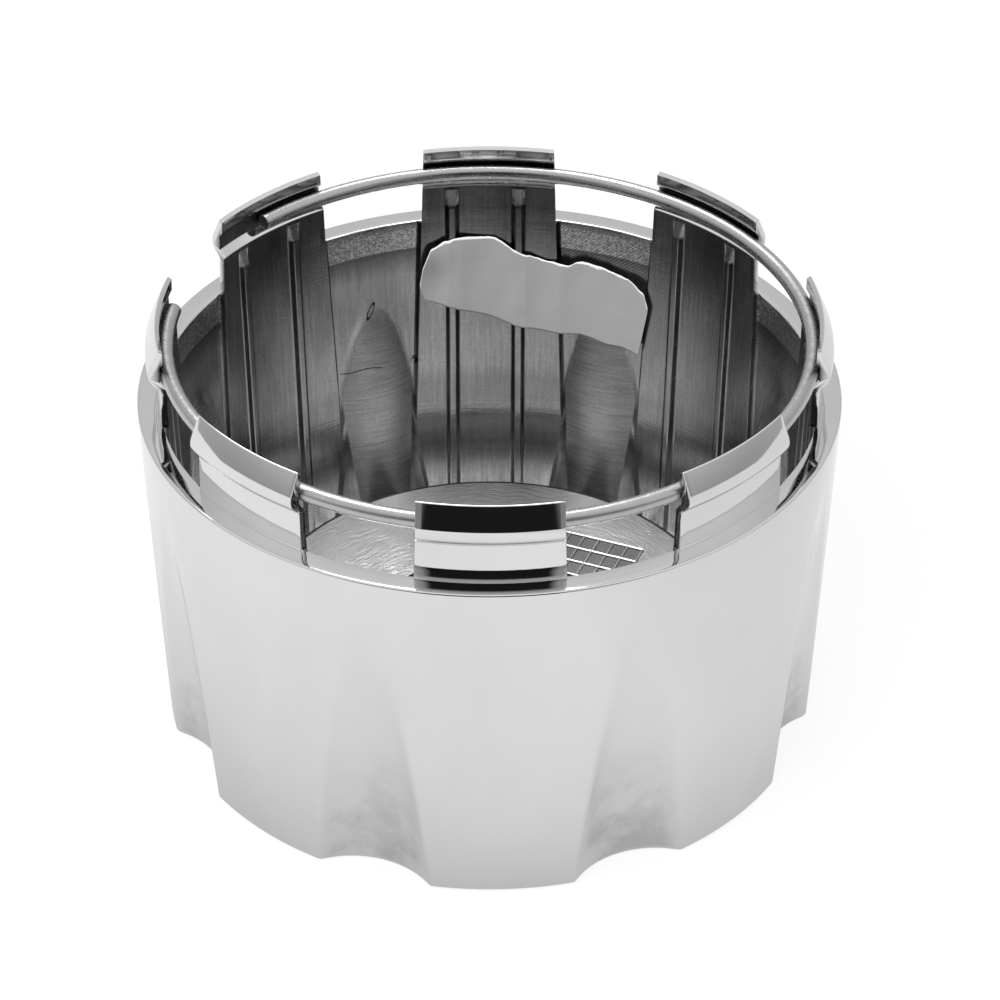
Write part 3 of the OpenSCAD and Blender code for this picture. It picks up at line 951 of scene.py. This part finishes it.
def paper():
    """Matt grey paper with fibres and faint blotches, white where its upper edge is torn."""
    s = Surface("label_paper")
    fibre = s.noise(s.scale(s.place, (1, 1, 2.2)), 2.6, 4, 0.7)
    blotch = s.noise(s.place, 0.09, 4, 0.55, 0.3)
    tone = s.mix(s.times(fibre, 0.3), s.mix(blotch, grey(0.35), grey(0.43)), grey(0.46))
    ragged = s.times(s.noise(s.place, 0.26, 2, 0.6), 1.6)
    torn = s.fall(s.plus(s.attribute("from_tear"), ragged), 1.1, 1.25)
    return s.finish(
        Base_Color=s.mix(torn, tone, grey(0.95)),
        Roughness=0.78,
        Specular_IOR_Level=0.3,
        Normal=s.bump(s.plus(s.times(fibre, 0.03), s.times(blotch, 0.4))),
    )


def dress(piece, material):
    """Gives a piece its material and its slot, and lets it ride the part."""
    piece.data.materials.clear()
    piece.data.materials.append(material)
    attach(piece, "root")


# Stage: a white floor, a studio round it and the photograph's camera.
def floor():
    """White floor: plain white to the camera, and in mirrors a painted shadow makes it a little darker close
    to the cap and towards the right.
    """
    mesh = bpy.data.meshes.new("floor")
    half = 3.0
    corners = [(-half, -half, 0), (half, -half, 0), (half, half, 0), (-half, half, 0)]
    mesh.from_pydata(corners, [], [(0, 1, 2, 3)])
    piece = bpy.data.objects.new("floor", mesh)
    bpy.context.scene.collection.objects.link(piece)
    piece.location.z = -0.0002
    material = bpy.data.materials.new("floor_white")
    material.use_nodes = True
    material.node_tree.nodes.clear()
    n = Nodes(material.node_tree, "SMOOTHSTEP")
    matt = n.node("ShaderNodeBsdfDiffuse", {"Color": grey(0.8)})
    x, y, z = n.split(n.node("ShaderNodeTexCoord").outputs["Object"])
    # Painted shadow for mirrors: the glow is dimmed near the cap's foot and towards the right.
    away = n.math("MAXIMUM", n.minus(n.length(x, y), 0.062), 0.0)
    near = n.math("EXPONENT", n.times(away, -50.0))
    shade = n.minus(1.0, n.times(near, 0.34))
    sides = n.times(n.span(x, 0.05, 0.15, 1.0, 0.88), n.span(x, -0.15, -0.05, 1.02, 1.0))
    path = n.node("ShaderNodeLightPath").outputs
    seen = n.math("MAXIMUM", path["Is Camera Ray"], path["Is Transmission Ray"])
    glow = n.node("ShaderNodeEmission", {"Strength": n.blend(seen, n.times(shade, sides, 0.96), 1.0)})
    share = n.math("MAXIMUM", n.times(seen, 0.9), path["Is Glossy Ray"])
    both = n.node("ShaderNodeMixShader", {0: share, 1: matt.outputs[0], 2: glow.outputs[0]})
    n.node("ShaderNodeOutputMaterial", {"Surface": both.outputs[0]})
    mesh.materials.append(material)


def studio():
    """Bright room by the direction of each ray: light overhead and behind, greyer at the sides,
    and the dark camera stand in front."""
    world = bpy.data.worlds.new("studio")
    bpy.context.scene.world = world
    world.use_nodes = True
    world.node_tree.nodes.clear()
    n = Nodes(world.node_tree, "SMOOTHSTEP")
    x, y, z = n.split(n.node("ShaderNodeTexCoord").outputs["Generated"])
    back = n.curve(z, [(0.0, 0.55), (0.5, 0.66), (0.8, 0.86), (1.0, 1.0)], "EASE")
    side = n.curve(z, [(0.0, 0.36), (0.3, 0.55), (0.57, 0.92), (0.8, 0.8), (1.0, 0.95)], "EASE")
    stops = [(0.0, 0.3), (0.35, 0.25), (0.62, 0.4), (0.8, 0.62), (0.94, 0.95), (1.0, 0.95)]
    front = n.curve(z, stops, "EASE")
    room = n.blend(n.rise(y, -0.15, 0.6), side, back)
    room = n.blend(n.fall(y, -0.75, -0.45), room, front)
    turn = n.math("DIVIDE", x, n.math("MAXIMUM", n.times(y, -1.0), 0.001))
    stand = n.times(n.rise(turn, -0.44, -0.36), n.fall(turn, 0.36, 0.44), n.fall(z, 0.6, 0.68))
    room = n.blend(n.times(stand, n.fall(y, -0.1, 0)), room, 0.012)
    seen = n.node("ShaderNodeLightPath").outputs["Is Camera Ray"]
    ground = n.node("ShaderNodeBackground", {"Strength": n.blend(seen, room, 1.0), "Color": grey(1.0)})
    n.node("ShaderNodeOutputWorld", {"Surface": ground.outputs[0]})


def softbox(name, place, width, height, power):
    """A lamp with a rectangular face, which looks at the middle of the cap."""
    data = bpy.data.lights.new(name, "AREA")
    data.shape = "RECTANGLE"
    data.size, data.size_y, data.energy = width, height, power
    lamp = bpy.data.objects.new(name, data)
    bpy.context.scene.collection.objects.link(lamp)
    lamp.location = place
    lamp.rotation_euler = (Vector((0, 0, 0.04)) - Vector(place)).to_track_quat("-Z", "Y").to_euler()
    return lamp


def camera():
    """The photograph's camera: it looks along its pitch and yaw, and rolls about that line."""
    data = bpy.data.cameras.new("view")
    data.lens = VIEW_LENS
    data.sensor_width = 36.0
    data.clip_start = 0.01
    view = bpy.data.objects.new("view", data)
    bpy.context.scene.collection.objects.link(view)
    pitch, yaw, roll = (math.radians(a) for a in (VIEW_PITCH, VIEW_YAW, VIEW_ROLL))
    ahead = Vector((math.sin(yaw) * math.cos(pitch), math.cos(yaw) * math.cos(pitch), -math.sin(pitch)))
    right = Vector((math.cos(yaw), -math.sin(yaw), 0))
    up = right.cross(ahead)
    right, up = math.cos(roll) * right + math.sin(roll) * up, math.cos(roll) * up - math.sin(roll) * right
    turn = Matrix((right, up, -ahead)).transposed().to_4x4()
    turn.translation = Vector(VIEW_PLACE) * MM
    view.matrix_world = turn
    bpy.context.scene.camera = view


# Pieces of the cap.
moulding = make_body()
dress(moulding, chrome())
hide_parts("cap_body")

spring = make_ring()
dress(spring, wire())
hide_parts("retaining_ring")

label, label_length, label_height, label_area = make_label()
dress(label, paper())
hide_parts("paper_label")

floor()
studio()
softbox("key", (-0.14, 0.58, 0.98), 0.5, 0.4, 4)
fill = softbox("fill", (-0.3, -0.6, 0.95), 0.6, 0.5, 13)
fill.visible_glossy = False
camera()
bpy.context.scene.view_settings.view_transform = "Standard"
